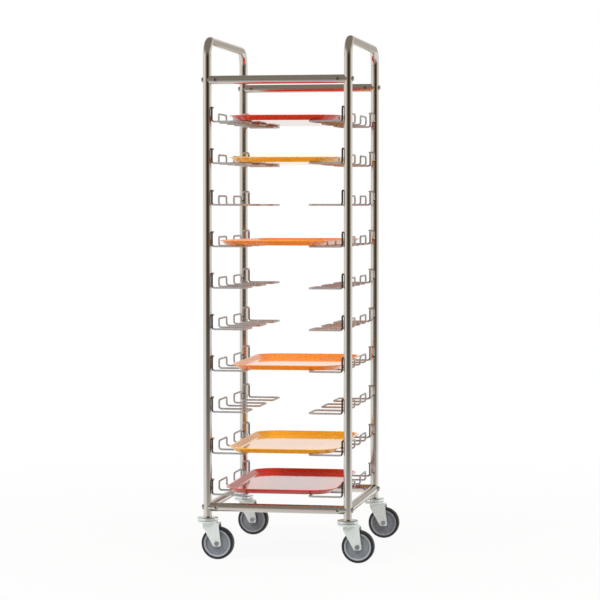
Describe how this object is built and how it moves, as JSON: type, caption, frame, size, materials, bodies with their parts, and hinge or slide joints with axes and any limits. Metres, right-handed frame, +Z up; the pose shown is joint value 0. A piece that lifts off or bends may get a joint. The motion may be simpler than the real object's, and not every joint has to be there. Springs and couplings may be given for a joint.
{
  "type": "tray trolley",
  "caption": "Tall tubular steel trolley with bent side frames, bolted crossbars, bent wire racks, loose shallow serving trays and swivel castors.",
  "frame": {"origin": "on the floor, below the middle of the four posts", "axes": "+Z up, -Y towards the front where the trays slide out, +X to the right seen from the front"},
  "size_m": [0.564, 0.6324, 1.643],
  "materials": {
    "stainless_tube": "polished",
    "stainless_wire": "polished",
    "stainless_fastener": "polished",
    "zinc_steel": "bright zinc",
    "grey_plastic": "satin",
    "black_rubber": "matte",
    "tray_red": "gloss",
    "tray_orange": "gloss",
    "tray_yellow": "gloss"
  },
  "bodies": {
    "frame": {"left_side_frame": "stainless_tube", "right_side_frame": "stainless_tube", "left_bottom_rail": "stainless_tube", "right_bottom_rail": "stainless_tube", "front_top_crossbar": "stainless_tube", "rear_top_crossbar": "stainless_tube", "front_bottom_crossbar": "stainless_tube", "rear_bottom_crossbar": "stainless_tube", "crossbar_bolts": "stainless_fastener", "barrel_nuts": "stainless_fastener", "left_rack_01": "stainless_wire", "right_rack_01": "stainless_wire", "left_rack_02": "stainless_wire", "right_rack_02": "stainless_wire", "left_rack_03": "stainless_wire", "right_rack_03": "stainless_wire", "left_rack_04": "stainless_wire", "right_rack_04": "stainless_wire", "left_rack_05": "stainless_wire", "right_rack_05": "stainless_wire", "left_rack_06": "stainless_wire", "right_rack_06": "stainless_wire", "left_rack_07": "stainless_wire", "right_rack_07": "stainless_wire", "left_rack_08": "stainless_wire", "right_rack_08": "stainless_wire", "left_rack_09": "stainless_wire", "right_rack_09": "stainless_wire", "left_rack_10": "stainless_wire", "right_rack_10": "stainless_wire", "front_left_castor_head": "zinc_steel", "front_right_castor_head": "zinc_steel", "rear_left_castor_head": "zinc_steel", "rear_right_castor_head": "zinc_steel", "post_foot_plugs": "stainless_fastener", "swivel_balls": "stainless_fastener"},
    "front_left_castor": {"front_left_fork": "zinc_steel", "front_left_axle": "zinc_steel"},
    "front_left_rolling_wheel": {"front_left_wheel": "grey_plastic", "front_left_tyre": "black_rubber"},
    "front_right_castor": {"front_right_fork": "zinc_steel", "front_right_axle": "zinc_steel"},
    "front_right_rolling_wheel": {"front_right_wheel": "grey_plastic", "front_right_tyre": "black_rubber"},
    "rear_left_castor": {"rear_left_fork": "zinc_steel", "rear_left_axle": "zinc_steel"},
    "rear_left_rolling_wheel": {"rear_left_wheel": "grey_plastic", "rear_left_tyre": "black_rubber"},
    "rear_right_castor": {"rear_right_fork": "zinc_steel", "rear_right_axle": "zinc_steel"},
    "rear_right_rolling_wheel": {"rear_right_wheel": "grey_plastic", "rear_right_tyre": "black_rubber"},
    "serving_tray_01": {"tray_01": "tray_red"},
    "serving_tray_02": {"tray_02": "tray_yellow"},
    "serving_tray_04": {"tray_04": "tray_orange"},
    "serving_tray_07": {"tray_07": "tray_orange"},
    "serving_tray_09": {"tray_09": "tray_yellow"},
    "serving_tray_10": {"tray_10": "tray_red"}
  },
  "joints": [
    {"name": "front_left_swivel", "type": "hinge", "parent": "frame", "child": "front_left_castor", "pos_m": [-0.2235, -0.28, 0.125], "axis": [0, 0, 1], "continuous": true},
    {"name": "front_left_roll", "type": "hinge", "parent": "front_left_castor", "child": "front_left_rolling_wheel", "pos_m": [-0.1905, -0.28, 0.051], "axis": [0, 1, 0], "continuous": true},
    {"name": "front_right_swivel", "type": "hinge", "parent": "frame", "child": "front_right_castor", "pos_m": [0.2235, -0.28, 0.125], "axis": [0, 0, 1], "continuous": true},
    {"name": "front_right_roll", "type": "hinge", "parent": "front_right_castor", "child": "front_right_rolling_wheel", "pos_m": [0.2565, -0.28, 0.051], "axis": [0, 1, 0], "continuous": true},
    {"name": "rear_left_swivel", "type": "hinge", "parent": "frame", "child": "rear_left_castor", "pos_m": [-0.2235, 0.28, 0.125], "axis": [0, 0, 1], "continuous": true},
    {"name": "rear_left_roll", "type": "hinge", "parent": "rear_left_castor", "child": "rear_left_rolling_wheel", "pos_m": [-0.1905, 0.28, 0.051], "axis": [0, 1, 0], "continuous": true},
    {"name": "rear_right_swivel", "type": "hinge", "parent": "frame", "child": "rear_right_castor", "pos_m": [0.2235, 0.28, 0.125], "axis": [0, 0, 1], "continuous": true},
    {"name": "rear_right_roll", "type": "hinge", "parent": "rear_right_castor", "child": "rear_right_rolling_wheel", "pos_m": [0.2565, 0.28, 0.051], "axis": [0, 1, 0], "continuous": true},
    {"name": "tray_01_slide", "type": "slide", "parent": "frame", "child": "serving_tray_01", "axis": [0, -1, 0], "range_m": [0, 0.55]},
    {"name": "tray_02_slide", "type": "slide", "parent": "frame", "child": "serving_tray_02", "axis": [0, -1, 0], "range_m": [0, 0.55]},
    {"name": "tray_04_slide", "type": "slide", "parent": "frame", "child": "serving_tray_04", "axis": [0, -1, 0], "range_m": [0, 0.55]},
    {"name": "tray_07_slide", "type": "slide", "parent": "frame", "child": "serving_tray_07", "axis": [0, -1, 0], "range_m": [0, 0.55]},
    {"name": "tray_09_slide", "type": "slide", "parent": "frame", "child": "serving_tray_09", "axis": [0, -1, 0], "range_m": [0, 0.55]},
    {"name": "tray_10_slide", "type": "slide", "parent": "frame", "child": "serving_tray_10", "axis": [0, -1, 0], "range_m": [0, 0.55]}
  ]
}
